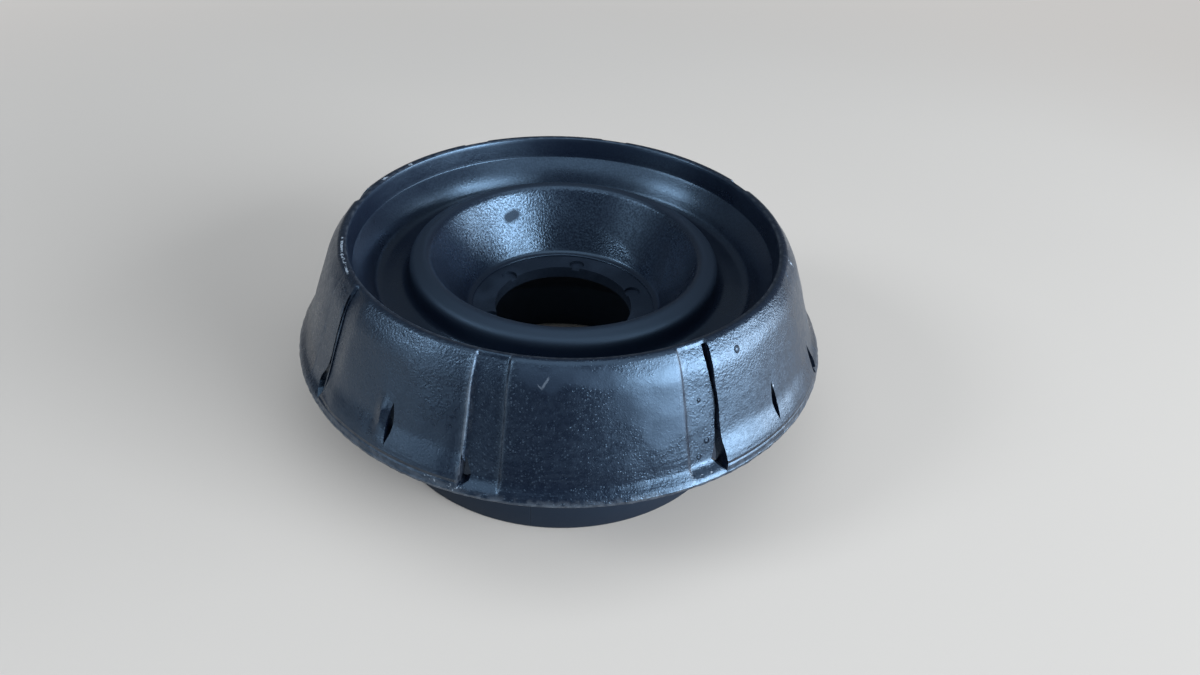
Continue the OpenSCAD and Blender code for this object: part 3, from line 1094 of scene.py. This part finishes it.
@dataclass
class Studio:
    """A plain pale floor, soft lamps and the camera.

    The camera sees an even backdrop away from the mount, while the rubber mirrors a floor with painted shade
    in front and painted light at the right. The eye is in millimetres, and the focal length is a share of the
    width.
    """

    floor_colour: Colour = (0.54, 0.525, 0.51, 1.0)
    # The next two colours are painted shade in front and painted light at the right, seen only in the mount's
    # reflections.
    shaded_front: Colour = (0.04, 0.04, 0.04, 1.0)
    painted_light_right: Colour = (0.80, 0.79, 0.78, 1.0)
    backdrop: Colour = (0.585, 0.575, 0.565, 1.0)
    sky: Colour = (0.86, 0.93, 1.0, 1.0)
    sky_strength: float = 0.17
    eye: Point = (-24.3312, -186.0623, 160.4635)
    right: Point = (0.988233, -0.144720, 0.049551)
    up: Point = (0.046616, 0.593431, 0.803574)
    focal: float = 900.0 / 1200.0
    lamps: tuple[SoftLight, ...] = (
        SoftLight("window", (0.898, -0.418, 0.139), 1.5, (1.80, 0.45), 36.0),
        SoftLight("window_head", (0.672, -0.648, 0.358), 1.5, (0.95, 0.55), 21.0),
        SoftLight("left_glow", (-0.902, -0.402, 0.156), 1.5, (0.64, 0.32), 2.0),
        SoftLight("left_window", (-0.80, -0.18, 0.57), 1.4, (0.40, 0.36), 5.5),
        SoftLight("overhead", (0.0, -0.22, 0.97), 1.5, (2.0, 1.6), 12.5))

    def build(self) -> None:
        """Sets up the floor, the light, the camera and the view."""
        self.lay_floor()
        for lamp in self.lamps:
            lamp.place()
        self.hang_sky()
        self.aim()
        bpy.context.scene.view_settings.view_transform = "Standard"

    def lay_floor(self) -> None:
        """Lays the pale floor; rays mirrored off the mount see painted shade in front and painted light at
        the right.
        """
        bpy.ops.mesh.primitive_plane_add(size=8.0, location=(0, 0, 0))
        floor = bpy.context.object
        floor.name = "floor"
        bench = Bench("pale_floor")
        paler = tuple(c * 1.06 for c in self.floor_colour[:3]) + (1.0,)
        shade = bench.blend(bench.noise(220.0), self.floor_colour, paler)
        # Painted shade: mirrored rays see the floor in front nearly black.
        ahead = bench.span(bench.axis("Y"), -0.13, -0.28)
        ahead = bench.times(ahead, bench.span(bench.axis("X"), 0.24, 0.08))
        seen = bench.seen()
        mirrored = bench.maths("SUBTRACT", 1.0, seen)
        ahead = bench.times(ahead, mirrored)
        # Painted light: mirrored rays see the floor at the right paler.
        beside = bench.times(bench.span(bench.axis("X"), 0.20, 0.36), mirrored)
        shade = bench.blend(beside, shade, self.painted_light_right)
        bench.put("Base Color", bench.blend(ahead, shade, self.shaded_front))
        bench.put("Roughness", 0.9)
        bench.put("Specular IOR Level", 0.1)
        self.even_out(bench, seen)
        floor.data.materials.append(bench.material)

    def even_out(self, bench: Bench, seen: Socket) -> None:
        """Shows the floor far from the mount as an even pale backdrop.

        Args:
            bench: nodes of the floor's material.
            seen: share of the rays that come straight from the camera.
        """
        far = bench.times(bench.span(bench.vector("LENGTH", bench.point), 0.24, 0.52), seen)
        glow = bench.add("Emission")
        bench.feed(glow.inputs["Color"], self.backdrop)
        bench.show(far, bench.shader.outputs["BSDF"], glow.outputs["Emission"])

    def hang_sky(self) -> None:
        """Lights the mount from all round, and shows the backdrop behind it."""
        world = bpy.data.worlds.new("soft_sky")
        world.use_nodes = True
        wiring = Wiring(world.node_tree)
        light, plain = world.node_tree.nodes["Background"], wiring.add("Background")
        wiring.feed(light.inputs["Color"], self.sky)
        wiring.feed(light.inputs["Strength"], self.sky_strength)
        wiring.feed(plain.inputs["Color"], self.backdrop)
        wiring.show(wiring.seen(), light.outputs["Background"], plain.outputs["Background"])
        bpy.context.scene.world = world

    def aim(self) -> None:
        """Adds the camera where the picture was taken from."""
        across, upward = Vector(self.right).normalized(), Vector(self.up).normalized()
        turn = Matrix((across, upward, across.cross(upward))).transposed().to_4x4()
        bpy.ops.object.camera_add()
        camera = bpy.context.object
        camera.matrix_world = Matrix.Translation(Vector(self.eye) * MM) @ turn
        camera.data.sensor_fit = "HORIZONTAL"
        camera.data.lens = camera.data.sensor_width * self.focal
        camera.data.clip_start, camera.data.clip_end = 0.005, 20.0
        bpy.context.scene.camera = camera


MARK_ROWS = {
    Wear.SCUFF: (
        ((-51.4, -1.5, 54.4), (-51.1, -8.6, 54.4), 0.34), ((-51.1, -8.6, 54.4), (-49.1, -17.1, 54.3), 0.38),
        ((-43.6, 27.0, 54.4), (-42.9, 28.2, 54.4), 0.6), ((-37.2, 34.9, 54.3), (-36.7, 35.4, 54.3), 0.5),
        # The last scuff here, at the top of the right front eye, is a painted highlight, not wear.
        ((49.9, -17.4, 53.6), (53.4, -16.9, 47.6), 0.45), ((40.4, -44.0, 38.6), (40.5, -44.2, 39.4), 0.35),
    ),
    Wear.TRACE: (
        ((-10.7, -54.2, 50.1), (-8.8, -53.3, 53.1), 0.34), ((-9.6, -53.1, 53.4), (-8.4, -52.9, 53.7), 0.50),
        ((-12.6, -53.4, 52.2), (-10.9, -54.2, 50.2), 0.18),
        ((-17.3, -52.3, 50.6), (-18.2, -55.2, 42.5), 0.30),
        # The three traces from here down the right edge of the front left pad are a painted highlight on its
        # ridge.
        ((-23.2, -48.1, 53.0), (-24.0, -49.9, 50.6), 0.38),
        ((-24.0, -49.9, 50.6), (-25.4, -52.7, 42.5), 0.38),
        ((-25.4, -52.7, 42.5), (-27.2, -56.5, 31.0), 0.38), ((55.1, -25.1, 36.2), (57.0, -26.0, 30.8), 0.40),
    ),
    Wear.DUST: (
        ((-33.5, -53.6, 29.4), (-28.4, -57.4, 28.2), 1.6), ((20.4, -60.4, 28.8), (27.0, -58.0, 28.6), 1.2),
    ),
    Wear.SMEAR: (
        ((-13.5, -52.6, 52.6), (-9.0, -54.0, 50.8), 2.6), ((-8.0, -53.4, 52.4), (4.0, -54.4, 51.2), 2.6),
        ((8.0, -55.5, 47.5), (14.0, -56.5, 42.0), 6.5), ((14.0, -53.0, 49.5), (13.0, -57.5, 40.0), 5.0),
        ((13.7, 25.2, 42.4), (17.5, 21.5, 40.5), 3.4), ((16.5, 25.8, 45.4), (23.4, 19.6, 44.9), 5.0),
        ((17.9, 21.5, 41.5), (22.0, 15.0, 38.1), 4.2), ((22.0, 15.0, 38.1), (25.5, 15.5, 44.0), 4.6),
        ((24.4, 5.2, 35.8), (27.0, 9.0, 41.0), 4.0),
    ),
    Wear.BALD: (
        ((-11.9, 26.5, 42.6), (-10.3, 27.2, 43.1), 2.0),
    ),
    Wear.PIP: (
        ((21.1, -52.6, 43.6), (21.1, -52.6, 43.7), 0.55), ((23.2, -55.2, 34.8), (23.2, -55.2, 34.9), 0.75),
        ((21.6, -57.0, 31.9), (21.6, -57.0, 32.0), 0.65), ((30.0, -46.0, 50.9), (30.0, -46.0, 51.0), 0.85),
    ),
    Wear.PIT: (
        ((30.0, -46.0, 50.9), (30.0, -46.0, 51.0), 0.55), ((-12.0, -44.2, 1.0), (-12.0, -44.2, 26.0), 0.18),
    ),
}
MARKS = tuple(Mark(kind, *row) for kind, rows in MARK_ROWS.items() for row in rows)


def main() -> None:
    """Builds and dresses the mount, sets up the studio and reports each piece."""
    logging.basicConfig(level=logging.INFO, format="%(name)s: %(message)s")
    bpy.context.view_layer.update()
    moulding = RubberMoulding(finish=RubberFinish(marks=MARKS)).build()
    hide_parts("rubber_body")
    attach(moulding, "root")
    LOG.info("%s: %d faces", moulding.name, len(moulding.data.polygons))
    steel = SteelInsert().dress()
    LOG.info("%s: dressed", steel.name)
    Studio().build()


if __name__ == "__main__":
    main()
